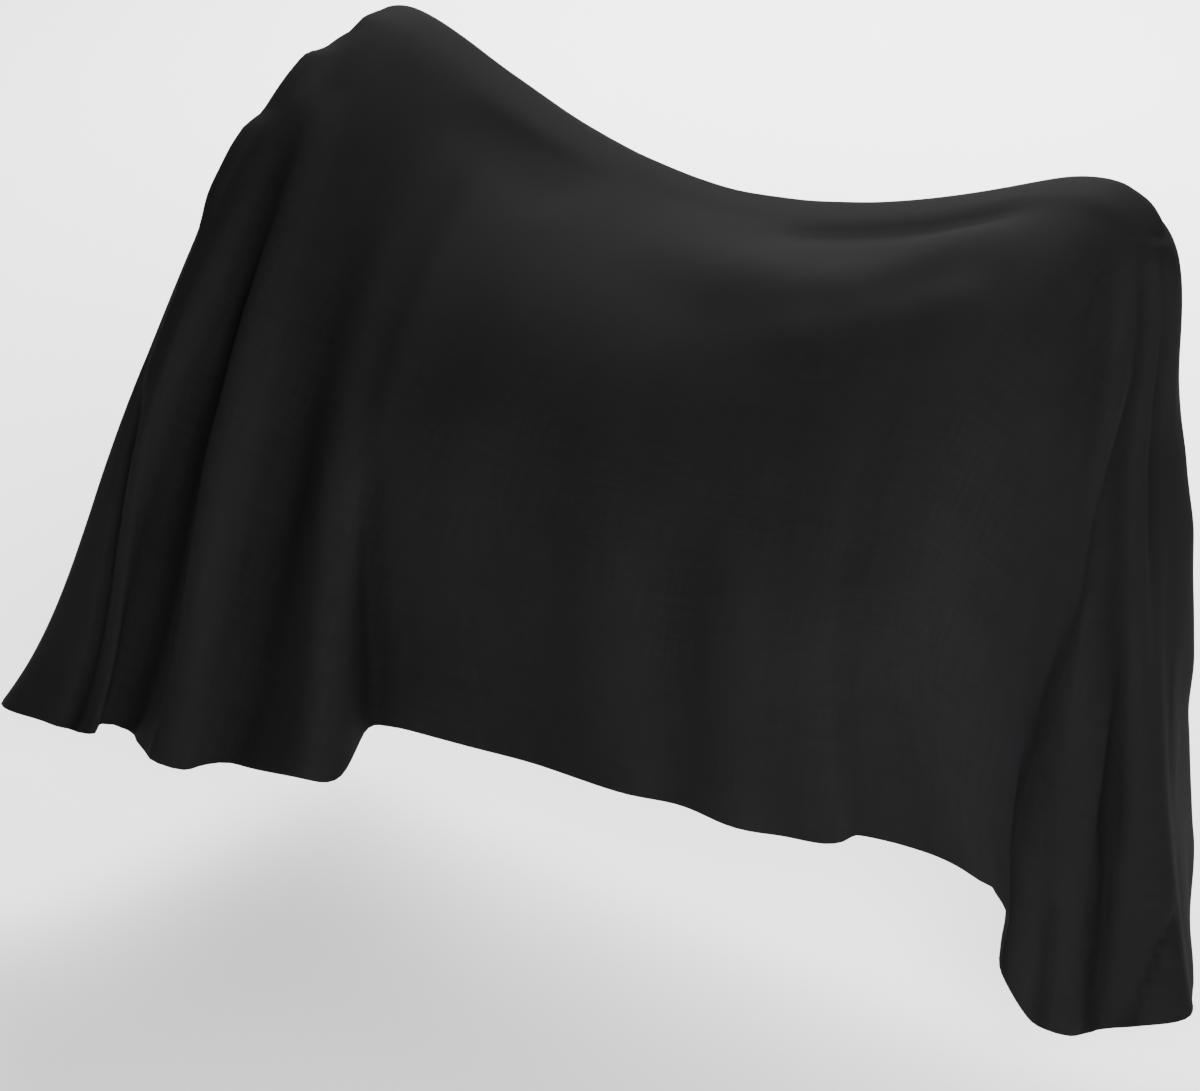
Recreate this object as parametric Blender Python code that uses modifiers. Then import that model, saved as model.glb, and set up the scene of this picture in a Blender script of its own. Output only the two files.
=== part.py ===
"""Loose cloth dust cover: one sheet hanging in folds from two peaks, open at the bottom.

The origin is under the middle of the top. X runs along the cover, -Y is its front, Z is up.
"""
from typing import NamedTuple

import bpy
import numpy as np

NODE = "cover_cloth"
COLLECTION = "instrument_dust_cover"

# Cloth
CLOTH_THICK = 0.002
CLOTH_COLOUR = (0.014, 0.014, 0.016, 1.0)
CLOTH_ROUGHNESS = 0.82

# Crest: the line between the two peaks, sagging in the middle
CREST_LEFT = -0.486
CREST_RIGHT = 0.472
CREST_HALF_WIDTH = 0.030
SAG_X = -0.030
SAG_ROUNDING = 0.020
SAG_POWER = 1.7
SAG_LEFT_SLOPE = 0.560
SAG_RIGHT_SLOPE = 0.535
PEAK_HEIGHT = 0.126
PEAK_SOFTNESS = 0.009
LEFT_END_START = -0.465
LEFT_END_RUN = 0.050
LEFT_END_DROP = 0.010
RIGHT_END_START = 0.425
RIGHT_END_RUN = 0.077
RIGHT_END_DROP = 0.034

# Edge: the ring where the top turns down into the skirt
EDGE_FRONT_Y = -0.435
EDGE_BACK_Y = 0.055
EDGE_FRONT_Z = -0.178
EDGE_BACK_Z = -0.158
EDGE_SHARE = 0.45
EDGE_SKIRT_MIX = 0.62

# Fall of every rib
CREST_PULL = 0.95
CREST_BULGE = 0.44
CREST_TILT = 0.10
CREST_SPREAD = 0.60
PEAK_FRONT_TILT = 0.40
SAG_FRONT_TILT = 0.00
SAG_FRONT_BULGE = 0.45
SAG_FRONT_X = 0.08
SAG_FRONT_REACH = 0.30
HEM_FLARE = 0.55

# Back skirt: plain, with shallow waves
BACK_HALF_WIDTH = 0.480
BACK_HEM_SPREAD = 1.08
BACK_HEM_Y = 0.095
BACK_HEM_Z = -0.545
BACK_HEM_CORNER_DROP = 0.040
BACK_WAVE = 0.009
BACK_WAVES = 5
BACK_FIRST_TURN = 1.09
BACK_LAST_TURN = 1.91

# Mesh
FRONT_STEPS = 88
BACK_STEPS = 40
ROWS = 20
RIB_STEP_WEIGHT = 0.75


class Rib(NamedTuple):
    """One line of the cloth from the crest over the edge to the hem.

    turn is its place round the crest: 0 is the left end, 1 the right end, 2 the left end again.
    """

    name: str
    turn: float
    edge_x: float
    edge_y: float
    hem_x: float
    hem_y: float
    hem_z: float


# Ridges and valleys of the folds, from the left end along the front to the right end
FRONT_RIBS = [
    Rib("left end", 0.000, -0.535, -0.175, -0.640, -0.185, -0.578),
    Rib("left side", 0.012, -0.538, -0.305, -0.680, -0.345, -0.603),
    Rib("left tip", 0.022, -0.538, -0.385, -0.733, -0.495, -0.658),
    Rib("left flap", 0.030, -0.532, -0.411, -0.612, -0.545, -0.619),
    Rib("flap crease", 0.037, -0.510, -0.424, -0.572, -0.543, -0.617),
    Rib("left strip", 0.045, -0.482, -0.448, -0.524, -0.569, -0.589),
    Rib("deep valley", 0.060, -0.436, -0.414, -0.493, -0.543, -0.588),
    Rib("left ridge", 0.095, -0.372, -0.457, -0.357, -0.618, -0.541),
    Rib("second valley", 0.155, -0.296, -0.424, -0.289, -0.570, -0.542),
    Rib("lobe ridge", 0.213, -0.220, -0.455, -0.172, -0.591, -0.504),
    Rib("lobe turn", 0.238, -0.192, -0.449, -0.150, -0.556, -0.512),
    Rib("lobe root", 0.258, -0.172, -0.443, -0.173, -0.480, -0.503),
    Rib("panel left", 0.285, -0.145, -0.441, -0.158, -0.465, -0.501),
    Rib("panel wave", 0.400, -0.060, -0.443, -0.033, -0.467, -0.490),
    Rib("panel middle", 0.500, 0.040, -0.441, 0.071, -0.463, -0.480),
    Rib("panel swell", 0.620, 0.180, -0.443, 0.211, -0.459, -0.464),
    Rib("panel dip", 0.740, 0.310, -0.441, 0.335, -0.447, -0.456),
    Rib("nick low", 0.806, 0.378, -0.443, 0.409, -0.441, -0.443),
    Rib("nick high", 0.824, 0.394, -0.441, 0.426, -0.437, -0.431),
    Rib("panel right", 0.880, 0.445, -0.439, 0.493, -0.439, -0.429),
    Rib("right corner", 0.930, 0.510, -0.400, 0.565, -0.427, -0.440),
    Rib("right valley", 0.948, 0.530, -0.315, 0.584, -0.400, -0.482),
    Rib("tail edge", 0.957, 0.526, -0.240, 0.559, -0.352, -0.598),
    Rib("tail start", 0.964, 0.530, -0.190, 0.590, -0.344, -0.654),
    Rib("tail ridge", 0.971, 0.543, -0.150, 0.620, -0.322, -0.677),
    Rib("tail valley", 0.979, 0.532, -0.100, 0.630, -0.272, -0.700),
    Rib("tail middle", 0.987, 0.543, -0.065, 0.680, -0.260, -0.680),
    Rib("right tip", 0.994, 0.536, -0.045, 0.714, -0.205, -0.689),
    Rib("right end", 1.000, 0.540, -0.020, 0.690, -0.145, -0.702),
]
RIGHT_BACK_RIBS = [
    Rib("right back side", 1.014, 0.545, 0.012, 0.645, -0.055, -0.693),
    Rib("right back corner", 1.036, 0.538, 0.045, 0.598, 0.050, -0.648),
]
LEFT_BACK_RIBS = [
    Rib("left back corner", 1.960, -0.525, 0.045, -0.590, 0.060, -0.588),
    Rib("left back side", 1.983, -0.535, -0.040, -0.612, -0.045, -0.578),
]


def back_ribs():
    """Plain ribs across the back, alternately out and in."""
    ribs = []
    count = 2 * BACK_WAVES + 1
    for i in range(count):
        share = i / (count - 1)
        side = 1.0 - 2.0 * share
        wave = BACK_WAVE if i % 2 == 0 else -BACK_WAVE
        ribs.append(Rib(
            name=f"back {i + 1}",
            turn=BACK_FIRST_TURN + (BACK_LAST_TURN - BACK_FIRST_TURN) * share,
            edge_x=BACK_HALF_WIDTH * side,
            edge_y=EDGE_BACK_Y + 0.3 * wave,
            hem_x=BACK_HALF_WIDTH * side * BACK_HEM_SPREAD,
            hem_y=BACK_HEM_Y + wave,
            hem_z=BACK_HEM_Z - BACK_HEM_CORNER_DROP * side ** 4,
        ))
    return ribs


def all_ribs():
    return FRONT_RIBS + RIGHT_BACK_RIBS + back_ribs() + LEFT_BACK_RIBS


def closed_curve(knots, values, at):
    """Value of a smooth closed curve of length 2 through the given values."""
    count = len(knots)
    k = np.concatenate([[knots[-1] - 2.0], knots, [knots[0] + 2.0, knots[1] + 2.0]])
    v = np.concatenate([[values[-1]], values, [values[0], values[1]]])
    gap = np.diff(k)
    slope = np.diff(v) / gap
    before, after = slope[:-1], slope[1:]
    mean = (gap[1:] * before + gap[:-1] * after) / (gap[1:] + gap[:-1])
    limit = 3.0 * np.minimum(np.abs(before), np.abs(after))
    tangent = np.where(before * after > 0, np.clip(mean, -limit, limit), 0.35 * mean)
    at = np.mod(at, 2.0)
    i = np.clip(np.searchsorted(knots, at, side="right") - 1, 0, count - 1)
    step = gap[i + 1]
    s = (at - k[i + 1]) / step
    last = np.where(i + 1 < count, i + 1, 0)
    return hermite(v[i + 1], tangent[i] * step, v[i + 2], tangent[last] * step, s)


def hermite(start, start_pull, end, end_pull, s):
    """Cubic from start to end that leaves and arrives along the two pulls."""
    return ((2 * s**3 - 3 * s**2 + 1) * start + (s**3 - 2 * s**2 + s) * start_pull
            + (3 * s**2 - 2 * s**3) * end + (s**3 - s**2) * end_pull)


def crest_height(x):
    """Height of the crest: a sag between two rounded peaks."""
    away = x - SAG_X
    slope = np.where(away < 0, SAG_LEFT_SLOPE, SAG_RIGHT_SLOPE)
    height = slope * (away**2 + SAG_ROUNDING**2) ** (SAG_POWER / 2)
    height = PEAK_HEIGHT - PEAK_SOFTNESS * np.log1p(np.exp((PEAK_HEIGHT - height) / PEAK_SOFTNESS))
    left = np.clip((LEFT_END_START - x) / LEFT_END_RUN, 0, None)
    right = np.clip((x - RIGHT_END_START) / RIGHT_END_RUN, 0, None)
    return height - LEFT_END_DROP * left**2 - RIGHT_END_DROP * right**2


def crest_point(turn):
    """Point on the narrow ring round the crest line, and the way out of the ring there."""
    span = CREST_RIGHT - CREST_LEFT
    quarter = np.pi * CREST_HALF_WIDTH / 2
    turn = np.mod(turn, 2.0)
    front = turn <= 1.0
    along = np.where(front, turn, 2.0 - turn) * (span + 2 * quarter)
    left = np.clip(along / quarter, 0, 1) * np.pi / 2
    right = np.clip((along - quarter - span) / quarter, 0, 1) * np.pi / 2
    x = (CREST_LEFT - CREST_HALF_WIDTH * np.cos(left) + np.clip(along - quarter, 0, span)
         + CREST_HALF_WIDTH * np.sin(right))
    off = np.where(along < quarter, np.sin(left), np.cos(right))
    off = np.where(front, -off, off)
    out_x = np.where(along < quarter, -np.cos(left), np.sin(right))
    point = np.stack([x, CREST_HALF_WIDTH * off, crest_height(x)], -1)
    return point, np.stack([out_x, off, np.zeros_like(x)], -1)


def front_leave(x, outward):
    """How steeply the front leaves the crest, and how far it bulges: flat and full in the sag only."""
    front = np.clip(-outward[..., 1], 0, 1) ** 3
    sag = np.exp(-(np.abs(x - SAG_FRONT_X) / SAG_FRONT_REACH) ** 4)
    front_tilt = PEAK_FRONT_TILT + (SAG_FRONT_TILT - PEAK_FRONT_TILT) * sag
    tilt = CREST_TILT + (front_tilt - CREST_TILT) * front
    return tilt, CREST_BULGE + SAG_FRONT_BULGE * sag * front


def unit(vector):
    return vector / np.maximum(np.linalg.norm(vector, axis=-1, keepdims=True), 1e-9)


def cover_point(turn, fall):
    """Point of the cloth: turn goes round it, fall runs from 0 at the crest to 1 at the hem."""
    ribs = all_ribs()
    knots = np.array([rib.turn for rib in ribs])
    column = {}
    for field in ("edge_x", "edge_y", "hem_x", "hem_y", "hem_z"):
        column[field] = closed_curve(knots, np.array([getattr(rib, field) for rib in ribs]), turn)
    depth = (column["edge_y"] - EDGE_FRONT_Y) / (EDGE_BACK_Y - EDGE_FRONT_Y)
    edge_z = EDGE_FRONT_Z + (EDGE_BACK_Z - EDGE_FRONT_Z) * depth
    crest, outward = crest_point(turn)
    edge = np.stack([column["edge_x"], column["edge_y"], edge_z], -1)
    hem = np.stack([column["hem_x"], column["hem_y"], column["hem_z"]], -1)
    top, skirt = edge - crest, hem - edge
    top_length = np.linalg.norm(top, axis=-1, keepdims=True)
    skirt_length = np.linalg.norm(skirt, axis=-1, keepdims=True)
    level = top * np.array([1.0, 1.0, 0.0])
    reach = np.linalg.norm(level, axis=-1, keepdims=True)
    tilt, bulge = front_leave(crest[..., 0], outward)
    leave = unit(unit(level) + CREST_SPREAD * outward - tilt[..., None] * np.array([0.0, 0.0, 1.0]))
    leave = leave * (CREST_PULL * reach + bulge[..., None] * np.abs(top[..., 2:3]))
    turn_down = unit(EDGE_SKIRT_MIX * skirt / skirt_length + (1 - EDGE_SKIRT_MIX) * top / top_length)
    arrive = skirt * np.array([1 + HEM_FLARE, 1 + HEM_FLARE, 1.0])
    upper = np.clip(fall / EDGE_SHARE, 0, 1)[..., None]
    lower = np.clip((fall - EDGE_SHARE) / (1 - EDGE_SHARE), 0, 1)[..., None]
    over_top = hermite(crest, leave, edge, turn_down * top_length, upper)
    down_skirt = hermite(edge, turn_down * skirt_length, hem, arrive, lower)
    return np.where(fall[..., None] <= EDGE_SHARE, over_top, down_skirt)


def even_turns(first, last, steps):
    """Turns from first to last, closer together where the cloth is longer or the ribs are dense."""
    fine = np.linspace(first, last, 1201)
    hem = cover_point(fine, np.ones_like(fine))
    edge = cover_point(fine, np.full_like(fine, EDGE_SHARE))
    length = np.linalg.norm(np.diff(hem, axis=0), axis=1) + np.linalg.norm(np.diff(edge, axis=0), axis=1)
    knots = np.array([rib.turn for rib in all_ribs()] + [2.0])
    ribs_passed = np.diff(np.interp(fine, knots, np.arange(len(knots))))
    weight = length / length.sum() + RIB_STEP_WEIGHT * ribs_passed / ribs_passed.sum()
    total = np.concatenate([[0.0], np.cumsum(weight)])
    return np.interp(np.linspace(0, total[-1], steps + 1), total, fine)


def cover_mesh():
    """Rings of points from the crest to the hem, closed along the crest by a narrow strip."""
    front = even_turns(0.0, 1.0, FRONT_STEPS)
    back = even_turns(1.0, 2.0, BACK_STEPS)
    turns = np.concatenate([front, back[1:-1]])
    count = len(turns)
    falls = np.linspace(0.0, 1.0, ROWS + 1)
    turn_grid, fall_grid = np.meshgrid(turns, falls)
    points = cover_point(turn_grid.ravel(), fall_grid.ravel())
    faces = []
    for row in range(ROWS):
        for i in range(count):
            j = (i + 1) % count
            faces.append((row * count + i, (row + 1) * count + i, (row + 1) * count + j, row * count + j))
    return points, faces + crest_strip(points, count)


def crest_strip(points, count):
    """Triangles that close the ring at the crest, from its left end to its right end."""
    front = list(range(FRONT_STEPS + 1))
    back = [0] + list(range(count - 1, FRONT_STEPS - 1, -1))
    faces = [(0, front[1], back[1])]
    i, j = 1, 1
    while i < len(front) - 2 or j < len(back) - 2:
        front_next = points[front[i + 1]][0] if i < len(front) - 2 else np.inf
        back_next = points[back[j + 1]][0] if j < len(back) - 2 else np.inf
        if front_next <= back_next:
            faces.append((front[i], front[i + 1], back[j]))
            i += 1
        else:
            faces.append((front[i], back[j + 1], back[j]))
            j += 1
    faces.append((front[i], front[-1], back[j]))
    return faces


def cloth_material():
    material = bpy.data.materials.new("cover_cloth")
    material.use_nodes = True
    shader = material.node_tree.nodes["Principled BSDF"]
    shader.inputs["Base Color"].default_value = CLOTH_COLOUR
    shader.inputs["Roughness"].default_value = CLOTH_ROUGHNESS
    shader.inputs["Metallic"].default_value = 0.0
    return material


def main():
    for old in list(bpy.data.objects):
        bpy.data.objects.remove(old, do_unlink=True)
    collection = bpy.data.collections.new(COLLECTION)
    bpy.context.scene.collection.children.link(collection)
    points, faces = cover_mesh()
    mesh = bpy.data.meshes.new(NODE)
    mesh.from_pydata([tuple(point) for point in points], [], faces)
    mesh.polygons.foreach_set("use_smooth", [True] * len(mesh.polygons))
    mesh.materials.append(cloth_material())
    mesh.update()
    cover = bpy.data.objects.new(NODE, mesh)
    collection.objects.link(cover)
    thickness = cover.modifiers.new("cloth thickness", "SOLIDIFY")
    thickness.thickness = CLOTH_THICK
    thickness.offset = -1.0
    thickness.use_rim = True


main()
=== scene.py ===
import math
from typing import NamedTuple

import bpy
import numpy as np
from bpy.props import FloatProperty, FloatVectorProperty, IntProperty, PointerProperty
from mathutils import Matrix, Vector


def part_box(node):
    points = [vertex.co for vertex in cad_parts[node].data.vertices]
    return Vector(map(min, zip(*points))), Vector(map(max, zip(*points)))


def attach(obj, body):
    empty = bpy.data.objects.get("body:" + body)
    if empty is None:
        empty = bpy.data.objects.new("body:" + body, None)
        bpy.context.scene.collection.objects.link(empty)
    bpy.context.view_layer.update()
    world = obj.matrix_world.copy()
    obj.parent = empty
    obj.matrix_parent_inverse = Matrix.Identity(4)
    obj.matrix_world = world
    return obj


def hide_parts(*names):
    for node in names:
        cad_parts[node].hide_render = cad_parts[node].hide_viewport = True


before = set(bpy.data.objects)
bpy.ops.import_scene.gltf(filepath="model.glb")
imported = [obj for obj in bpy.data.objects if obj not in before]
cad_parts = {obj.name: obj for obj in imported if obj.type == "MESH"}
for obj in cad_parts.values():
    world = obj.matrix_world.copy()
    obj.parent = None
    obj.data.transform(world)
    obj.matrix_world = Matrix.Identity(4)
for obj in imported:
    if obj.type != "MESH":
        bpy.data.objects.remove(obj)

bl_info = {
    "name": "Instrument Dust Cover",
    "version": (1, 0, 0),
    "blender": (4, 5, 0),
    "location": "3D View > Sidebar > Dust Cover",
    "description": "Loose black cloth dust cover hanging in soft folds from two peaks",
    "category": "Add Mesh",
}

CAD_LOW, CAD_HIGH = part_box("cover_cloth")
UP = np.array([0.0, 0.0, 1.0])
LEVEL = np.array([1.0, 1.0, 0.0])

# Crest: the line between the two peaks, sagging in the middle
CREST_LEFT = -0.486
CREST_RIGHT = 0.472
CREST_HALF_WIDTH = 0.030
SAG_X = -0.030
SAG_ROUNDING = 0.020
SAG_POWER = 1.7
SAG_LEFT_SLOPE = 0.560
SAG_RIGHT_SLOPE = 0.535
PEAK_HEIGHT = 0.126
PEAK_SOFTNESS = 0.009
LEFT_END_START = -0.465
LEFT_END_RUN = 0.050
LEFT_END_DROP = 0.010
RIGHT_END_START = 0.425
RIGHT_END_RUN = 0.077
RIGHT_END_DROP = 0.034

# Edge: the ring where the top turns down into the skirt
EDGE_FRONT_Y = -0.435
EDGE_BACK_Y = 0.055
EDGE_FRONT_Z = -0.178
EDGE_BACK_Z = -0.158
EDGE_SHARE = 0.45
EDGE_SKIRT_MIX = 0.62

# Fall of every rib
CREST_PULL = 0.95
CREST_BULGE = 0.44
CREST_TILT = 0.10
CREST_SPREAD = 0.60
PEAK_FRONT_TILT = 0.40
SAG_FRONT_TILT = 0.00
SAG_FRONT_BULGE = 0.45
SAG_FRONT_X = 0.08
SAG_FRONT_REACH = 0.30
HEM_FLARE = 0.55

# Back skirt: plain, with shallow waves
BACK_HALF_WIDTH = 0.480
BACK_HEM_SPREAD = 1.08
BACK_HEM_Y = 0.095
BACK_HEM_Z = -0.545
BACK_HEM_CORNER_DROP = 0.040
BACK_WAVE = 0.009
BACK_WAVES = 5
BACK_FIRST_TURN = 1.09
BACK_LAST_TURN = 1.91

# Smooth curve through the ribs: how steep it may run, and how much slope it keeps at a turning point
CURVE_STEEPEST = 3.0
CURVE_TURNING = 0.35

# Crown of the strip that joins front and back along the crest
CROWN_HEIGHT = 0.0015
CROWN_ROWS = 5

# Grid: how much the ribs draw the columns together, and the last rows, in metres from the edge
RIB_STEP_WEIGHT = 0.75
TURN_SAMPLES = 2400
HEM_TURN = 0.011
HEM_ROWS = (0.022, 0.016, 0.0125, HEM_TURN, 0.006, 0.002)
HEM_LAYERS = 2.0


class Rib(NamedTuple):
    """One line of the cloth from the crest over the edge to the hem.

    turn is its place round the crest: 0 is the left end, 1 the right end, 2 the left end again.
    """

    name: str
    turn: float
    edge_x: float
    edge_y: float
    hem_x: float
    hem_y: float
    hem_z: float


# Ridges and valleys of the main folds, from the left end along the front to the right end
FRONT_RIBS = [
    Rib("left end", 0.000, -0.535, -0.175, -0.640, -0.185, -0.578),
    Rib("left side", 0.012, -0.538, -0.305, -0.680, -0.345, -0.603),
    Rib("left tip", 0.022, -0.538, -0.385, -0.733, -0.495, -0.658),
    Rib("left flap", 0.030, -0.532, -0.411, -0.612, -0.545, -0.619),
    Rib("flap crease", 0.037, -0.510, -0.424, -0.572, -0.543, -0.617),
    Rib("left strip", 0.045, -0.482, -0.448, -0.524, -0.569, -0.589),
    Rib("deep valley", 0.060, -0.436, -0.414, -0.493, -0.543, -0.588),
    Rib("left ridge", 0.095, -0.372, -0.457, -0.357, -0.618, -0.541),
    Rib("second valley", 0.155, -0.296, -0.424, -0.289, -0.570, -0.542),
    Rib("lobe ridge", 0.213, -0.220, -0.455, -0.172, -0.591, -0.504),
    Rib("lobe turn", 0.238, -0.192, -0.449, -0.150, -0.556, -0.512),
    Rib("lobe root", 0.258, -0.172, -0.443, -0.173, -0.480, -0.503),
    Rib("panel left", 0.285, -0.145, -0.441, -0.158, -0.465, -0.501),
    Rib("panel wave", 0.400, -0.060, -0.443, -0.033, -0.467, -0.490),
    Rib("panel middle", 0.500, 0.040, -0.441, 0.071, -0.463, -0.480),
    Rib("panel swell", 0.620, 0.180, -0.443, 0.211, -0.459, -0.464),
    Rib("panel dip", 0.740, 0.310, -0.441, 0.335, -0.447, -0.456),
    Rib("nick low", 0.806, 0.378, -0.443, 0.409, -0.441, -0.443),
    Rib("nick high", 0.824, 0.394, -0.441, 0.426, -0.437, -0.431),
    Rib("panel right", 0.880, 0.445, -0.439, 0.493, -0.439, -0.429),
    Rib("right corner", 0.930, 0.510, -0.400, 0.565, -0.427, -0.440),
    Rib("right valley", 0.948, 0.530, -0.315, 0.584, -0.400, -0.482),
    Rib("tail edge", 0.957, 0.526, -0.240, 0.559, -0.352, -0.598),
    Rib("tail start", 0.964, 0.530, -0.190, 0.590, -0.344, -0.654),
    Rib("tail ridge", 0.971, 0.543, -0.150, 0.620, -0.322, -0.677),
    Rib("tail valley", 0.979, 0.532, -0.100, 0.630, -0.272, -0.700),
    Rib("tail middle", 0.987, 0.543, -0.065, 0.680, -0.260, -0.680),
    Rib("right tip", 0.994, 0.536, -0.045, 0.714, -0.205, -0.689),
    Rib("right end", 1.000, 0.540, -0.020, 0.690, -0.145, -0.702),
]
RIGHT_BACK_RIBS = [
    Rib("right back side", 1.014, 0.545, 0.012, 0.645, -0.055, -0.693),
    Rib("right back corner", 1.036, 0.538, 0.045, 0.598, 0.050, -0.648),
]
LEFT_BACK_RIBS = [
    Rib("left back corner", 1.960, -0.525, 0.045, -0.590, 0.060, -0.588),
    Rib("left back side", 1.983, -0.535, -0.040, -0.612, -0.045, -0.578),
]


class Fold(NamedTuple):
    """A soft ridge or trough laid on the cloth along a path of (turn, fall) places.

    height is out of the cloth for a ridge and negative for a trough; width is to either side.
    fade is the share of the path over which it grows to its full height. A crease has a narrow foot.
    """

    name: str
    height: float
    width: float
    path: tuple
    fade: float = 0.25
    crease: bool = False


FOLDS = [
    # Top
    Fold("left slope hollow", -0.004, 0.050, (
        (0.170, 0.030), (0.246, 0.050), (0.307, 0.066), (0.370, 0.080),
    )),
    Fold("swag hollow", -0.009, 0.034, (
        (0.560, 0.012), (0.620, 0.022), (0.690, 0.025), (0.768, 0.023), (0.831, 0.018),
        (0.900, 0.014),
    )),
    Fold("swag lip", 0.012, 0.054, (
        (0.400, 0.050), (0.480, 0.070), (0.552, 0.094), (0.600, 0.112), (0.660, 0.126),
        (0.741, 0.126), (0.797, 0.088), (0.854, 0.060), (0.900, 0.034),
    ), fade=0.40),
    Fold("swag second lip", 0.008, 0.036, (
        (0.560, 0.180), (0.660, 0.195), (0.741, 0.190), (0.797, 0.165), (0.854, 0.140),
        (0.900, 0.120),
    ), fade=0.40),
    # Middle of the front
    Fold("panel light fold", 0.005, 0.050, (
        (0.540, 0.300), (0.565, 0.458), (0.560, 0.680), (0.555, 0.940),
    )),
    Fold("panel left hollow", -0.016, 0.110, (
        (0.430, 0.350), (0.450, 0.520), (0.450, 0.760), (0.440, 0.960),
    )),
    Fold("panel step hollow", -0.008, 0.045, (
        (0.640, 0.360), (0.658, 0.520), (0.655, 0.760), (0.635, 0.990),
    )),
    Fold("panel step ridge", 0.009, 0.060, (
        (0.705, 0.360), (0.725, 0.520), (0.722, 0.760), (0.705, 0.990),
    )),
    Fold("panel right hollow", -0.016, 0.070, (
        (0.900, 0.400), (0.905, 0.560), (0.900, 0.800), (0.895, 0.960),
    )),
    # Left side
    Fold("deep trough", -0.024, 0.034, (
        (0.048, 0.300), (0.052, 0.380), (0.055, 0.448), (0.056, 0.595), (0.054, 0.699),
        (0.052, 0.799), (0.051, 0.893), (0.052, 0.990),
    ), fade=0.60, crease=True),
    Fold("strip crown", 0.006, 0.014, (
        (0.030, 0.160), (0.034, 0.220), (0.037, 0.320), (0.038, 0.450), (0.037, 0.560),
    )),
    Fold("left broad ridge", 0.010, 0.030, (
        (0.030, 0.060), (0.048, 0.117), (0.068, 0.174), (0.085, 0.250), (0.092, 0.340),
        (0.104, 0.435), (0.105, 0.579), (0.101, 0.679), (0.096, 0.786), (0.092, 0.980),
    )),
    Fold("second trough", -0.014, 0.050, (
        (0.160, 0.300), (0.164, 0.450), (0.157, 0.562), (0.142, 0.676), (0.124, 0.799),
        (0.116, 0.896), (0.116, 0.990),
    ), fade=0.40, crease=True),
    Fold("lobe crown", 0.007, 0.024, (
        (0.212, 0.380), (0.222, 0.500), (0.224, 0.652), (0.221, 0.813), (0.216, 0.970),
    )),
    Fold("flap crease", -0.006, 0.011, (
        (0.037, 0.430), (0.038, 0.500), (0.038, 0.600), (0.037, 0.700), (0.037, 0.850),
        (0.036, 0.990),
    ), crease=True),
    Fold("left shoulder dent", -0.011, 0.034, (
        (-0.034, 0.012), (-0.014, 0.022), (0.004, 0.032), (0.011, 0.050), (0.014, 0.072),
        (0.016, 0.095),
    ), fade=0.40),
    Fold("left side swell", 0.008, 0.032, (
        (0.022, 0.165), (0.027, 0.200), (0.029, 0.240), (0.029, 0.310),
    )),
    # Right side
    Fold("right side dent", -0.010, 0.036, (
        (1.077, 0.012), (1.059, 0.034), (1.048, 0.050), (1.038, 0.070), (1.030, 0.100),
        (1.026, 0.151), (1.026, 0.211), (1.026, 0.291), (1.028, 0.360), (1.030, 0.430),
        (1.032, 0.520),
    ), fade=0.20),
    Fold("right side swell", 0.006, 0.050, (
        (1.032, 0.480), (1.032, 0.600), (1.032, 0.700), (1.033, 0.820),
    )),
    Fold("right corner trough", -0.024, 0.038, (
        (0.980, 0.240), (0.978, 0.300), (0.975, 0.360), (0.972, 0.441), (0.971, 0.515),
        (0.965, 0.632), (0.961, 0.769), (0.956, 0.860), (0.953, 0.940),
    ), fade=0.50, crease=True),
    # Right corner
    Fold("tail broad ridge", 0.008, 0.028, (
        (0.984, 0.500), (0.981, 0.600), (0.976, 0.690), (0.973, 0.780), (0.971, 0.880),
        (0.972, 0.980),
    ), fade=0.45),
    Fold("tail trough", -0.012, 0.014, (
        (0.984, 0.560), (0.983, 0.640), (0.982, 0.720), (0.982, 0.800), (0.981, 0.880),
        (0.980, 0.950),
    ), fade=0.40, crease=True),
    Fold("tail hem swell", 0.010, 0.030, (
        (0.980, 0.780), (0.979, 0.860), (0.979, 0.920), (0.980, 0.990),
    )),
    Fold("tail corner crease", -0.012, 0.017, (
        (0.997, 0.896), (0.994, 0.914), (0.991, 0.930), (0.990, 0.946), (0.988, 0.967),
        (0.986, 0.995),
    ), crease=True),
    Fold("tail small crease", -0.004, 0.009, (
        (0.985, 0.930), (0.985, 0.960), (0.984, 0.995),
    ), crease=True),
    Fold("tail front crease", -0.006, 0.010, (
        (0.967, 0.850), (0.967, 0.910), (0.967, 0.995),
    ), crease=True),
]

# Folds: samples in each part of a path, radius at a crease's foot as a share of its width, the share of
# a path over which a fold dies away, and the fall beyond which it runs out over the hem instead
PATH_SAMPLES = 12
CREASE_ROUNDING = 0.35
FOLD_END = 0.25
HEM_FALL = 0.95

# Falls over which the fine folds, and the painted shade of the hollows, start below the crest
FOLDS_START = 0.02
PAINTED_SHADE_START = 0.08

# Distances over which the hollows are measured for the painted shade and painted ridge light, in metres, and
# the weight of each
HOLLOW_REACHES = ((0.030, 0.6), (0.014, 0.8))
# Depth of a hollow that gets the full painted shade, in metres
HOLLOW_FULL = 0.009

# Faint unevenness of the cloth: waves per metre across and down it, height in millimetres, start
RIPPLES = [
    (1.7, 0.35, 1.00, 0.4),
    (2.9, -0.55, 0.70, 2.1),
    (4.6, 0.90, 0.45, 4.4),
    (7.3, -1.30, 0.26, 1.3),
    (11.8, 1.90, 0.14, 5.2),
    (3.4, 2.60, 0.30, 0.9),
]

# Weave: roundness of a thread, and the scales of the slubs, the nap and the worn patches, per metre
THREAD_ROUNDNESS = 0.6
SLUB_SCALE = 260.0
SLUB_STRETCH = 0.06
NAP_SCALE = 900.0
PATCH_SCALE = 3.2

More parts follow.
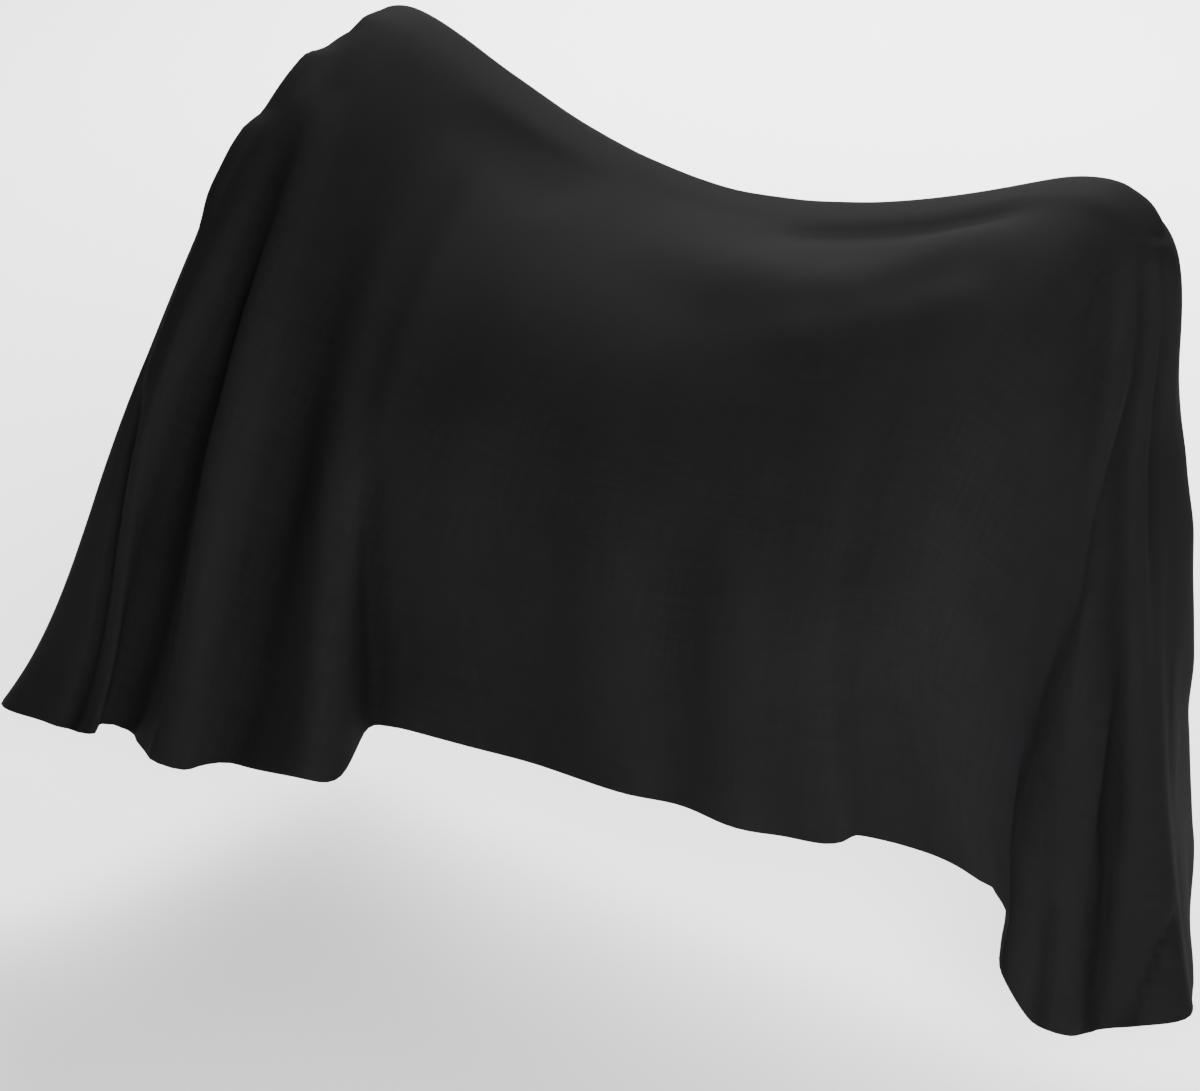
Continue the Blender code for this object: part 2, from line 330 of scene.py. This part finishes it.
# Shares of each in the tone between dark and light thread, in the relief and in the roughness
TONE_MIDDLE = 0.42
TONE_OF_SLUB = 0.25
TONE_OF_PATCHES = 0.35
# The threads' share paints shade into the depths of the weave and light onto the thread crowns
TONE_OF_THREAD_SHADE = 0.15
RELIEF_OF_THREADS = 0.75
RELIEF_OF_NAP = 0.25
BUMP_SHARE = 0.3
ROUGHNESS_OF_PATCHES = 0.10
ROUGHNESS_OF_SLUB = 0.06
SHEEN_ROUGHNESS = 0.45

# Floor: squares on a side, and the scale and shade of its mottling
FLOOR_SQUARES = 8
FLOOR_DROP = 0.176
FLOOR_MOTTLE_SCALE = 1.4
FLOOR_MOTTLE_SHADE = 0.985

# Lights: place, target and size
TOP_LIGHT = ((-1.6, 3.2, 2.4), (0.0, -0.1, -0.10), 2.2)
FRONT_LIGHT = ((1.95, -2.50, 1.15), (0.0, -0.2, -0.25), 1.1)

# Camera: place, degrees down and degrees to the right of the front
CAMERA_PLACE = (1.5972, -2.6363, 1.3592)
CAMERA_DOWN = 30.30
CAMERA_ROUND = 34.06
SENSOR_WIDTH = 36.0


def back_ribs():
    """Plain ribs across the back, alternately out and in."""
    ribs = []
    count = 2 * BACK_WAVES + 1
    for i in range(count):
        share = i / (count - 1)
        side = 1.0 - 2.0 * share
        wave = BACK_WAVE if i % 2 == 0 else -BACK_WAVE
        ribs.append(Rib(
            name=f"back {i + 1}",
            turn=BACK_FIRST_TURN + (BACK_LAST_TURN - BACK_FIRST_TURN) * share,
            edge_x=BACK_HALF_WIDTH * side,
            edge_y=EDGE_BACK_Y + 0.3 * wave,
            hem_x=BACK_HALF_WIDTH * side * BACK_HEM_SPREAD,
            hem_y=BACK_HEM_Y + wave,
            hem_z=BACK_HEM_Z - BACK_HEM_CORNER_DROP * side ** 4,
        ))
    return ribs


def all_ribs():
    return FRONT_RIBS + RIGHT_BACK_RIBS + back_ribs() + LEFT_BACK_RIBS


def hermite(start, start_pull, end, end_pull, s):
    """Cubic from start to end that leaves and arrives along the two pulls."""
    return ((2 * s**3 - 3 * s**2 + 1) * start + (s**3 - 2 * s**2 + s) * start_pull
            + (3 * s**2 - 2 * s**3) * end + (s**3 - s**2) * end_pull)


def closed_curve(knots, values, at):
    """Value of a smooth closed curve of length 2 through the given values."""
    count = len(knots)
    k = np.concatenate([[knots[-1] - 2.0], knots, [knots[0] + 2.0, knots[1] + 2.0]])
    v = np.concatenate([[values[-1]], values, [values[0], values[1]]])
    gap = np.diff(k)
    slope = np.diff(v) / gap
    before, after = slope[:-1], slope[1:]
    mean = (gap[1:] * before + gap[:-1] * after) / (gap[1:] + gap[:-1])
    limit = CURVE_STEEPEST * np.minimum(np.abs(before), np.abs(after))
    tangent = np.where(before * after > 0, np.clip(mean, -limit, limit), CURVE_TURNING * mean)
    at = np.mod(at, 2.0)
    i = np.clip(np.searchsorted(knots, at, side="right") - 1, 0, count - 1)
    step = gap[i + 1]
    s = (at - k[i + 1]) / step
    last = np.where(i + 1 < count, i + 1, 0)
    return hermite(v[i + 1], tangent[i] * step, v[i + 2], tangent[last] * step, s)


def crest_height(x):
    """Height of the crest: a sag between two rounded peaks."""
    away = x - SAG_X
    slope = np.where(away < 0, SAG_LEFT_SLOPE, SAG_RIGHT_SLOPE)
    height = slope * (away**2 + SAG_ROUNDING**2) ** (SAG_POWER / 2)
    height = PEAK_HEIGHT - PEAK_SOFTNESS * np.log1p(np.exp((PEAK_HEIGHT - height) / PEAK_SOFTNESS))
    left = np.clip((LEFT_END_START - x) / LEFT_END_RUN, 0, None)
    right = np.clip((x - RIGHT_END_START) / RIGHT_END_RUN, 0, None)
    return height - LEFT_END_DROP * left**2 - RIGHT_END_DROP * right**2


def crest_point(turn):
    """Point on the narrow ring round the crest line, and the way out of the ring there."""
    span = CREST_RIGHT - CREST_LEFT
    quarter = np.pi * CREST_HALF_WIDTH / 2
    turn = np.mod(turn, 2.0)
    front = turn <= 1.0
    along = np.where(front, turn, 2.0 - turn) * (span + 2 * quarter)
    left = np.clip(along / quarter, 0, 1) * np.pi / 2
    right = np.clip((along - quarter - span) / quarter, 0, 1) * np.pi / 2
    x = (CREST_LEFT - CREST_HALF_WIDTH * np.cos(left) + np.clip(along - quarter, 0, span)
         + CREST_HALF_WIDTH * np.sin(right))
    off = np.where(along < quarter, np.sin(left), np.cos(right))
    off = np.where(front, -off, off)
    out_x = np.where(along < quarter, -np.cos(left), np.sin(right))
    point = np.stack([x, CREST_HALF_WIDTH * off, crest_height(x)], -1)
    return point, np.stack([out_x, off, np.zeros_like(x)], -1)


def front_leave(x, outward):
    """How steeply the front leaves the crest, and how far it bulges: flat and full in the sag only."""
    front = np.clip(-outward[..., 1], 0, 1) ** 3
    sag = np.exp(-(np.abs(x - SAG_FRONT_X) / SAG_FRONT_REACH) ** 4)
    front_tilt = PEAK_FRONT_TILT + (SAG_FRONT_TILT - PEAK_FRONT_TILT) * sag
    tilt = CREST_TILT + (front_tilt - CREST_TILT) * front
    return tilt, CREST_BULGE + SAG_FRONT_BULGE * sag * front


def unit(vector):
    return vector / np.maximum(np.linalg.norm(vector, axis=-1, keepdims=True), 1e-9)


def cover_point(turn, fall):
    """Point of the cloth: turn goes round it, fall runs from 0 at the crest to 1 at the hem."""
    ribs = all_ribs()
    knots = np.array([rib.turn for rib in ribs])
    column = {}
    for field in ("edge_x", "edge_y", "hem_x", "hem_y", "hem_z"):
        column[field] = closed_curve(knots, np.array([getattr(rib, field) for rib in ribs]), turn)
    depth = (column["edge_y"] - EDGE_FRONT_Y) / (EDGE_BACK_Y - EDGE_FRONT_Y)
    edge_z = EDGE_FRONT_Z + (EDGE_BACK_Z - EDGE_FRONT_Z) * depth
    crest, outward = crest_point(turn)
    edge = np.stack([column["edge_x"], column["edge_y"], edge_z], -1)
    hem = np.stack([column["hem_x"], column["hem_y"], column["hem_z"]], -1)
    top, skirt = edge - crest, hem - edge
    top_length = np.linalg.norm(top, axis=-1, keepdims=True)
    skirt_length = np.linalg.norm(skirt, axis=-1, keepdims=True)
    level = top * LEVEL
    reach = np.linalg.norm(level, axis=-1, keepdims=True)
    tilt, bulge = front_leave(crest[..., 0], outward)
    leave = unit(unit(level) + CREST_SPREAD * outward - tilt[..., None] * UP)
    leave = leave * (CREST_PULL * reach + bulge[..., None] * np.abs(top[..., 2:3]))
    turn_down = unit(EDGE_SKIRT_MIX * skirt / skirt_length + (1 - EDGE_SKIRT_MIX) * top / top_length)
    arrive = skirt * np.array([1 + HEM_FLARE, 1 + HEM_FLARE, 1.0])
    upper = np.clip(fall / EDGE_SHARE, 0, 1)[..., None]
    lower = np.clip((fall - EDGE_SHARE) / (1 - EDGE_SHARE), 0, 1)[..., None]
    over_top = hermite(crest, leave, edge, turn_down * top_length, upper)
    down_skirt = hermite(edge, turn_down * skirt_length, hem, arrive, lower)
    return np.where(fall[..., None] <= EDGE_SHARE, over_top, down_skirt)


def even_turns(steps):
    """Turns along the front, closer together where the cloth is longer or the ribs are dense."""
    fine = np.linspace(0.0, 1.0, TURN_SAMPLES + 1)
    hem = cover_point(fine, np.ones_like(fine))
    edge = cover_point(fine, np.full_like(fine, EDGE_SHARE))
    length = sum(np.linalg.norm(np.diff(line, axis=0), axis=1) for line in (hem, edge))
    knots = np.array([rib.turn for rib in all_ribs()] + [2.0])
    ribs_passed = np.diff(np.interp(fine, knots, np.arange(len(knots))))
    weight = length / length.sum() + RIB_STEP_WEIGHT * ribs_passed / ribs_passed.sum()
    total = np.concatenate([[0.0], np.cumsum(weight)])
    return np.interp(np.linspace(0, total[-1], steps + 1), total, fine)


def cloth_grid(steps, rows):
    """Turns and falls of every grid point: rows down the cloth, columns round it."""
    front = even_turns(steps)
    turns = np.concatenate([front, 2.0 - front[-2:0:-1]])
    ones = np.ones_like(turns)
    near_hem = cover_point(turns, ones) - cover_point(turns, 0.999 * ones)
    fall_per_metre = 0.001 / np.linalg.norm(near_hem, axis=-1)
    hem_falls = [ones - distance * fall_per_metre for distance in HEM_ROWS]
    body_falls = [share * hem_falls[0] for share in np.linspace(0.0, 1.0, rows + 1)[:-1]]
    falls = np.array(body_falls + hem_falls + [ones])
    return np.broadcast_to(turns, falls.shape), falls


def grid_normals(points):
    """Outward direction of the cloth at every grid point."""
    round_it = np.roll(points, -1, axis=1) - np.roll(points, 1, axis=1)
    down_it = np.gradient(points, axis=0)
    return unit(np.cross(down_it, round_it))


def flat_places(points, turns):
    """Where each grid point lies on the cloth laid flat, in metres."""
    steps = np.linalg.norm(np.diff(points, axis=0), axis=-1)
    length = np.concatenate([np.zeros((1, points.shape[1])), np.cumsum(steps, axis=0)])
    crest = points[0]
    edge = cover_point(turns[0], np.full_like(turns[0], EDGE_SHARE))
    away = unit((edge - crest) * LEVEL)
    return crest[None] * LEVEL + away[None] * length[..., None]


def fold_offset(points, fold):
    """Height that one fold adds at every grid point."""
    path = np.array(fold.path)
    fine = np.linspace(0, len(path) - 1, PATH_SAMPLES * (len(path) - 1) + 1)
    turns = np.interp(fine, np.arange(len(path)), path[:, 0])
    falls = np.interp(fine, np.arange(len(path)), path[:, 1])
    line = cover_point(turns, falls)
    shares = np.linspace(0, 1, len(line))
    nearest = np.full(points.shape[:-1], np.inf)
    share = np.zeros(points.shape[:-1])
    for i in range(len(line) - 1):
        along = line[i + 1] - line[i]
        t = np.clip((points - line[i]) @ along / (along @ along), 0, 1)
        distance = np.linalg.norm(points - line[i] - t[..., None] * along, axis=-1)
        closer = distance < nearest
        nearest = np.where(closer, distance, nearest)
        share = np.where(closer, shares[i] + t * (shares[1] - shares[0]), share)
    if fold.crease:
        rounding = CREASE_ROUNDING * fold.width
        apart = np.sqrt(nearest ** 2 + rounding ** 2) - rounding
        across = np.clip(1 - apart / (2.0 * fold.width), 0, None) ** 3
    else:
        across = np.clip(1 - (nearest / (2.0 * fold.width)) ** 2, 0, None) ** 4
    starts_soft = np.clip(share / fold.fade, 0, 1)
    runs_out = path[-1, 1] > HEM_FALL
    ends_soft = 1.0 if runs_out else np.clip((1 - share) / FOLD_END, 0, 1)
    fade = starts_soft * ends_soft
    return fold.height * across * fade * fade * (3 - 2 * fade)


def ripple_offset(flat):
    """Height of the faint unevenness at every grid point."""
    total = np.zeros(flat.shape[:-1])
    for across, down, height, start in RIPPLES:
        total += 0.001 * height * np.sin(2 * np.pi * (across * flat[..., 0] + down * flat[..., 1]) + start)
    return total


def ring_points(closed, along, place):
    """Points at the given distances along a closed ring."""
    return np.stack([np.interp(place % along[-1], along, closed[:, i]) for i in range(3)], -1)


def hollow_depth(points):
    """How hollow the cloth is at every grid point, in metres: negative on ridges, positive in troughs."""
    outward = grid_normals(points)
    depth = np.zeros(points.shape[:-1])
    for row, ring in enumerate(points):
        closed = np.concatenate([ring, ring[:1]])
        along = np.concatenate([[0.0], np.cumsum(np.linalg.norm(np.diff(closed, axis=0), axis=-1))])
        place = along[:-1]
        for reach, weight in HOLLOW_REACHES:
            before = ring_points(closed, along, place - reach)
            after = ring_points(closed, along, place + reach)
            depth[row] += weight * (((before + after) / 2 - ring) * outward[row]).sum(-1)
    return depth


def quick_look(value):
    return value


class Field:
    """A value or colour that changes over the cloth, for use in sums."""

    def __init__(self, finish, socket):
        self.finish = finish
        self.socket = socket

    def sum(self, operation, *values):
        return self.finish.node("ShaderNodeMath", {"operation": operation}, dict(enumerate(values)))

    def __add__(self, other):
        return self.sum("ADD", self, other)

    def __radd__(self, other):
        return self.sum("ADD", other, self)

    def __sub__(self, other):
        return self.sum("SUBTRACT", self, other)

    def __rsub__(self, other):
        return self.sum("SUBTRACT", other, self)

    def __mul__(self, other):
        return self.sum("MULTIPLY", self, other)

    def __rmul__(self, other):
        return self.sum("MULTIPLY", other, self)

    def __pow__(self, other):
        return self.sum("POWER", self, other)

    def __gt__(self, other):
        return self.sum("GREATER_THAN", self, other)

    def sine(self):
        return self.sum("SINE", self)

    def size(self):
        return self.sum("ABSOLUTE", self)

    def beside(self, output):
        """Another output of the same node."""
        return Field(self.finish, self.socket.node.outputs[output])


class Finish:
    """A material under construction: its nodes are made one by one and wired to the shader."""

    def __init__(self, name):
        self.material = bpy.data.materials.new(name)
        self.material.use_nodes = True
        self.tree = self.material.node_tree
        self.tree.nodes.clear()
        self.shader = self.tree.nodes.new("ShaderNodeBsdfPrincipled")
        output = self.tree.nodes.new("ShaderNodeOutputMaterial")
        self.tree.links.new(self.shader.outputs["BSDF"], output.inputs["Surface"])

    def node(self, kind, settings, values, output=0):
        """Makes a node, sets it, feeds its sockets and returns one of its outputs."""
        made = self.tree.nodes.new(kind)
        for name, setting in settings.items():
            setattr(made, name, setting)
        for name, value in values.items():
            self.feed(made.inputs[name], value)
        return Field(self, made.outputs[output])

    def feed(self, socket, value):
        if isinstance(value, Field):
            self.tree.links.new(value.socket, socket)
        else:
            socket.default_value = value

    def set_shader(self, values):
        """Feeds the shader's sockets by name."""
        for name, value in values.items():
            self.feed(self.shader.inputs[name], value)

    def scaled(self, place, scale):
        """A place stretched by three factors."""
        return self.node("ShaderNodeVectorMath", {"operation": "MULTIPLY"}, {0: place, 1: scale})

    def attribute(self, name, output):
        return self.node("ShaderNodeAttribute", {"attribute_name": name}, {}, output)

    def blend(self, share, first, second):
        """Colour between two colours."""
        values = {0: share, 6: first, 7: second}
        return self.node("ShaderNodeMix", {"data_type": "RGBA"}, values, output=2)

    def noise(self, place, scale, detail=2.0, roughness=0.5):
        values = {"Vector": place, "Scale": scale, "Detail": detail, "Roughness": roughness}
        return self.node("ShaderNodeTexNoise", {"noise_dimensions": "3D"}, values, output=0)


def thread_height(across, down, pitch):
    """Plain weave: threads run both ways and pass over each other in turn."""
    across_wave = (across * (math.pi / pitch)).sine()
    down_wave = (down * (math.pi / pitch)).sine()
    over = across_wave * down_wave > 0.0
    return over * across_wave.size() ** THREAD_ROUNDNESS + (1.0 - over) * down_wave.size() ** THREAD_ROUNDNESS


def woven_cloth(settings):
    """Black plain-woven cloth with a soft nap and a cool sheen; painted shade darkens its colour in the fold
    hollows and the weave's depths, and painted light lifts its ridges.
    """
    finish = Finish("dust_cover_cloth")
    flat = finish.attribute("flat_place", 1)
    across = finish.node("ShaderNodeSeparateXYZ", {}, {0: flat})
    threads = thread_height(across, across.beside(1), settings.thread_pitch)
    stretched = finish.scaled(flat, (1.0, SLUB_STRETCH, 1.0))
    crossed = finish.scaled(flat, (SLUB_STRETCH, 1.0, 1.0))
    slub = finish.noise(stretched, SLUB_SCALE, 3.0) + finish.noise(crossed, SLUB_SCALE, 3.0)
    nap = finish.noise(flat, NAP_SCALE, 2.0)
    patches = finish.noise(flat, PATCH_SCALE, 3.0, 0.55)
    # Tone: random slub and patch tone, plus painted shade in the weave's depths
    tone = (TONE_MIDDLE + TONE_OF_SLUB * (slub - 0.5) + TONE_OF_PATCHES * (patches - 0.5)
            + TONE_OF_THREAD_SHADE * (threads - 0.5))
    # Painted shade: the colour darkens in the fold hollows; painted highlight: a smaller share lightens the
    # ridges
    limits = {"Value": finish.attribute("hollow", 2), "Min": -settings.painted_ridge_light, "Max": 1.0}
    hollow = finish.node("ShaderNodeClamp", {}, limits)
    tone = finish.node("ShaderNodeClamp", {}, {"Value": tone - settings.painted_hollow_shade * hollow})
    dark = tuple(settings.dark_colour) + (1.0,)
    light = tuple(settings.light_colour) + (1.0,)
    weave_bump = finish.node("ShaderNodeBump", {}, {
        "Strength": settings.weave_strength,
        "Distance": settings.thread_pitch * BUMP_SHARE,
        "Height": RELIEF_OF_THREADS * threads + RELIEF_OF_NAP * nap,
    })
    finish.set_shader({
        "Base Color": finish.blend(tone, dark, light),
        "Roughness": (settings.roughness + ROUGHNESS_OF_PATCHES * (patches - 0.5)
                      + ROUGHNESS_OF_SLUB * (slub - 1.0)),
        "Normal": weave_bump,
        "Specular IOR Level": settings.gloss,
        "Sheen Weight": settings.sheen,
        "Sheen Roughness": SHEEN_ROUGHNESS,
        "Sheen Tint": tuple(settings.sheen_colour) + (1.0,),
    })
    return finish.material


def pale_floor(settings):
    """Matt pale studio floor with the faintest mottling."""
    finish = Finish("studio_floor")
    place = finish.node("ShaderNodeTexCoord", {}, {}, output=3)
    mottle = finish.noise(place, FLOOR_MOTTLE_SCALE)
    pale = tuple(settings.floor_colour)
    shade = tuple(FLOOR_MOTTLE_SHADE * part for part in pale)
    colour = finish.blend(mottle, pale + (1.0,), shade + (1.0,))
    finish.set_shader({"Base Color": colour, "Roughness": 0.9, "Specular IOR Level": 0.1})
    return finish.material


class DustCoverCloth(bpy.types.PropertyGroup):
    """Sizes and colours of the cloth."""

    steps: IntProperty(
        name="Columns", description="Grid columns along the front, and as many along the back",
        default=190, min=60, max=240)
    rows: IntProperty(
        name="Rows", description="Grid rows from the crest to the hem", default=88, min=30, max=110)
    thickness: FloatProperty(
        name="Thickness", description="Thickness of the cloth", default=0.0015, min=0.0005, max=0.003,
        unit="LENGTH", precision=4)
    fold_scale: FloatProperty(
        name="Folds", description="Share of the fine folds' height", default=1.0, min=0.0, max=2.0,
        subtype="FACTOR")
    ripple_scale: FloatProperty(
        name="Ripples", description="Share of the faint unevenness", default=1.0, min=0.0, max=3.0,
        subtype="FACTOR")
    thread_pitch: FloatProperty(
        name="Thread Pitch", description="Distance between neighbouring threads", default=0.0007,
        min=0.0002, max=0.003, unit="LENGTH", precision=5)
    weave_strength: FloatProperty(
        name="Weave", description="Strength of the weave's relief", default=0.45, min=0.0, max=1.0,
        subtype="FACTOR")
    # The cloth's tone runs between these two colours: random slub and patch tone, painted shade in the
    # weave's depths and fold hollows, painted light on ridges and thread crowns
    dark_colour: FloatVectorProperty(
        name="Dark Thread", description="Colour in the depth of the weave", default=(0.0016, 0.0016, 0.0017),
        min=0.0, max=1.0, subtype="COLOR")
    light_colour: FloatVectorProperty(
        name="Light Thread", description="Colour on the crowns of the threads",
        default=(0.0112, 0.0112, 0.0118), min=0.0, max=1.0, subtype="COLOR")
    # Painted shade: darkens the cloth's colour in the fold hollows; the ridge share paints light onto the
    # ridges
    painted_hollow_shade: FloatProperty(
        name="Hollow Shade", description="How much darker the nap looks in the hollows", default=0.25,
        min=0.0, max=1.0, subtype="FACTOR")
    painted_ridge_light: FloatProperty(
        name="Ridge Share", description="Share of that change that also lightens the ridges", default=0.15,
        min=0.0, max=1.0, subtype="FACTOR")
    roughness: FloatProperty(
        name="Roughness", description="Roughness of the cloth", default=0.80, min=0.0, max=1.0,
        subtype="FACTOR")
    gloss: FloatProperty(
        name="Gloss", description="Specular level of the cloth", default=0.01, min=0.0, max=1.0,
        subtype="FACTOR")
    sheen: FloatProperty(
        name="Sheen", description="Weight of the soft sheen", default=0.002, min=0.0, max=1.0,
        subtype="FACTOR")
    sheen_colour: FloatVectorProperty(
        name="Sheen Colour", description="Colour of the soft sheen", default=(0.80, 0.86, 1.0),
        min=0.0, max=1.0, subtype="COLOR")


class DustCoverStage(bpy.types.PropertyGroup):
    """Floor, light and view."""

    floor_size: FloatProperty(
        name="Floor Size", description="Side of the square floor", default=24.0, min=4.0, max=60.0,
        unit="LENGTH")
    floor_height: FloatProperty(
        name="Floor Height", description="Height of the floor", default=CAD_LOW[2] - FLOOR_DROP, min=-3.0,
        max=0.0, unit="LENGTH")
    floor_colour: FloatVectorProperty(
        name="Floor Colour", description="Colour of the floor", default=(0.93, 0.93, 0.93), min=0.0, max=1.0,
        subtype="COLOR")
    surround: FloatProperty(
        name="Surround", description="Brightness of the surrounding light", default=0.35, min=0.0, max=5.0)
    top_power: FloatProperty(
        name="Top Light", description="Power of the large light above and behind", default=810.0, min=0.0,
        max=5000.0, unit="POWER")
    front_power: FloatProperty(
        name="Front Light", description="Power of the light at the right front", default=235.0, min=0.0,
        max=5000.0, unit="POWER")
    lens: FloatProperty(
        name="Lens", description="Focal length of the camera on a 36 mm frame", default=90.0, min=20.0,
        max=300.0, unit="CAMERA")


class DustCoverMakeCloth(bpy.types.Operator):
    """Makes the cloth sheet with its folds and turned hem"""

    bl_idname = "dust_cover.make_cloth"
    bl_label = "Make Cloth"

    def execute(self, context):
        settings = context.scene.dust_cover_cloth
        turns, falls = cloth_grid(quick_look(settings.steps), quick_look(settings.rows))
        points = cover_point(turns, falls)
        flat = flat_places(points, turns)
        outward = grid_normals(points)
        offset = settings.ripple_scale * ripple_offset(flat)
        for fold in FOLDS:
            offset = offset + settings.fold_scale * fold_offset(points, fold)
        offset = offset * np.clip(falls / FOLDS_START, 0, 1)
        points = points + outward * offset[..., None]
        # Painted shade and light: the hollows of the folds are stored to darken the cloth's colour, the
        # ridges to lighten it
        hollow = np.tanh(hollow_depth(points) / HOLLOW_FULL) * np.clip(falls / PAINTED_SHADE_START, 0, 1)
        cover = self.make_sheet(context, points, flat, hollow, settings)
        cover.data.materials.append(woven_cloth(settings))
        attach(cover, "root")
        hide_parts("cover_cloth")
        return {"FINISHED"}

    def make_sheet(self, context, points, flat, hollow, settings):
        """The sheet with its places on the flat cloth, the hollows that set its painted shade, and its turned
        hem.
        """
        rows, columns = points.shape[:2]
        faces = []
        for row in range(rows - 1):
            for i in range(columns):
                j = (i + 1) % columns
                faces.append((row * columns + i, (row + 1) * columns + i,
                              (row + 1) * columns + j, row * columns + j))
        places, flats = list(points.reshape(-1, 3)), list(flat.reshape(-1, 3))
        faces += self.crown_faces(points[0], flat[0], places, flats)
        mesh = bpy.data.meshes.new("cover_cloth_folds")
        mesh.from_pydata([tuple(place) for place in places], [], faces)
        mesh.polygons.foreach_set("use_smooth", [True] * len(mesh.polygons))
        attribute = mesh.attributes.new("flat_place", "FLOAT_VECTOR", "POINT")
        attribute.data.foreach_set("vector", np.array(flats, dtype=np.float32).ravel())
        # Painted shade: how hollow each point is, for darkening the cloth's colour
        hollows = np.zeros(len(places), dtype=np.float32)
        hollows[:hollow.size] = hollow.ravel()
        mesh.attributes.new("hollow", "FLOAT", "POINT").data.foreach_set("value", hollows)
        mesh.update()
        cover = bpy.data.objects.new("cover_cloth_folds", mesh)
        context.scene.collection.objects.link(cover)
        hem = cover.vertex_groups.new(name="turned hem")
        first_hem_row = rows - 1 - len(HEM_ROWS) + HEM_ROWS.index(HEM_TURN)
        hem.add(list(range(first_hem_row * columns, rows * columns)), 1.0, "REPLACE")
        thickness = cover.modifiers.new("cloth thickness", "SOLIDIFY")
        thickness.thickness = HEM_LAYERS * settings.thickness
        thickness.offset = -1.0
        thickness.use_rim = True
        thickness.vertex_group = hem.name
        thickness.thickness_vertex_group = 1.0 / HEM_LAYERS
        return cover

    def crown_faces(self, ring, ring_flat, places, flats):
        """Fills the ring at the crest with rows of faces across it, slightly crowned."""
        columns = len(ring)
        half = columns // 2
        strips = []
        for i in range(half + 1):
            front, back = i, (columns - i) % columns
            strip = [front]
            if 0 < i < half:
                for row in range(1, CROWN_ROWS):
                    share = row / CROWN_ROWS
                    width = abs(ring[front][1] - ring[back][1]) / (2 * CREST_HALF_WIDTH)
                    crown = CROWN_HEIGHT * width * 4 * share * (1 - share)
                    place = ring[front] * (1 - share) + ring[back] * share + crown * UP
                    strip.append(len(places))
                    places.append(place)
                    flats.append(ring_flat[front] * (1 - share) + ring_flat[back] * share)
                strip.append(back)
            strips.append(strip)
        faces = []
        for first, second in zip(strips, strips[1:]):
            if len(first) == 1:
                faces += [(first[0], a, b) for a, b in zip(second, second[1:])]
            elif len(second) == 1:
                faces += [(a, second[0], b) for a, b in zip(first, first[1:])]
            else:
                faces += [(a, b, d, c) for a, c, b, d in zip(first, first[1:], second, second[1:])]
        return faces


class DustCoverMakeStage(bpy.types.Operator):
    """Makes the floor, the soft lights, the surround and the camera"""

    bl_idname = "dust_cover.make_stage"
    bl_label = "Make Stage"

    def execute(self, context):
        settings = context.scene.dust_cover_stage
        self.make_floor(context, settings)
        self.make_surround(context, settings)
        self.make_light(context, "top light", *TOP_LIGHT, settings.top_power)
        self.make_light(context, "front light", *FRONT_LIGHT, settings.front_power)
        self.make_camera(context, settings)
        return {"FINISHED"}

    def make_floor(self, context, settings):
        half = settings.floor_size / 2
        count = FLOOR_SQUARES
        line = np.linspace(-half, half, count + 1)
        corners = [(x, y, settings.floor_height) for y in line for x in line]
        faces = []
        for row in range(count):
            for i in range(count):
                a = row * (count + 1) + i
                faces.append((a, a + 1, a + count + 2, a + count + 1))
        mesh = bpy.data.meshes.new("studio_floor")
        mesh.from_pydata(corners, [], faces)
        mesh.materials.append(pale_floor(settings))
        floor = bpy.data.objects.new("studio_floor", mesh)
        context.scene.collection.objects.link(floor)

    def make_surround(self, context, settings):
        world = bpy.data.worlds.new("studio_surround")
        world.use_nodes = True
        background = world.node_tree.nodes["Background"]
        background.inputs["Color"].default_value = (1.0, 1.0, 1.0, 1.0)
        background.inputs["Strength"].default_value = settings.surround
        context.scene.world = world

    def make_light(self, context, name, place, target, size, power):
        light = bpy.data.lights.new(name, "AREA")
        light.shape = "SQUARE"
        light.size = size
        light.energy = power
        lamp = bpy.data.objects.new(name, light)
        lamp.visible_camera = False
        lamp.location = place
        away = np.array(place) - np.array(target)
        lamp.rotation_euler = (math.acos(away[2] / np.linalg.norm(away)), 0.0,
                               math.atan2(away[1], away[0]) + math.pi / 2)
        context.scene.collection.objects.link(lamp)

    def make_camera(self, context, settings):
        lens = bpy.data.cameras.new("camera")
        lens.lens = settings.lens
        lens.sensor_width = SENSOR_WIDTH
        lens.clip_start = 0.05
        lens.clip_end = 100.0
        camera = bpy.data.objects.new("camera", lens)
        camera.location = CAMERA_PLACE
        camera.rotation_euler = (math.radians(90 - CAMERA_DOWN), 0.0, math.radians(CAMERA_ROUND))
        context.scene.collection.objects.link(camera)
        context.scene.camera = camera


class DustCoverPanel(bpy.types.Panel):
    """Lists the dust cover's makers and their settings"""

    bl_idname = "VIEW3D_PT_dust_cover"
    bl_label = "Dust Cover"
    bl_space_type = "VIEW_3D"
    bl_region_type = "UI"
    bl_category = "Dust Cover"

    def draw(self, context):
        layout = self.layout
        for operator, group in (
            ("dust_cover.make_cloth", context.scene.dust_cover_cloth),
            ("dust_cover.make_stage", context.scene.dust_cover_stage),
        ):
            layout.operator(operator)
            for name in group.__annotations__:
                layout.prop(group, name)


CLASSES = (DustCoverCloth, DustCoverStage, DustCoverMakeCloth, DustCoverMakeStage, DustCoverPanel)


def register():
    for made in CLASSES:
        bpy.utils.register_class(made)
    bpy.types.Scene.dust_cover_cloth = PointerProperty(type=DustCoverCloth)
    bpy.types.Scene.dust_cover_stage = PointerProperty(type=DustCoverStage)


def unregister():
    del bpy.types.Scene.dust_cover_stage
    del bpy.types.Scene.dust_cover_cloth
    for made in reversed(CLASSES):
        bpy.utils.unregister_class(made)


def main():
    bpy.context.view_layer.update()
    register()
    bpy.ops.dust_cover.make_cloth()
    bpy.ops.dust_cover.make_stage()


if __name__ == "__main__":
    main()
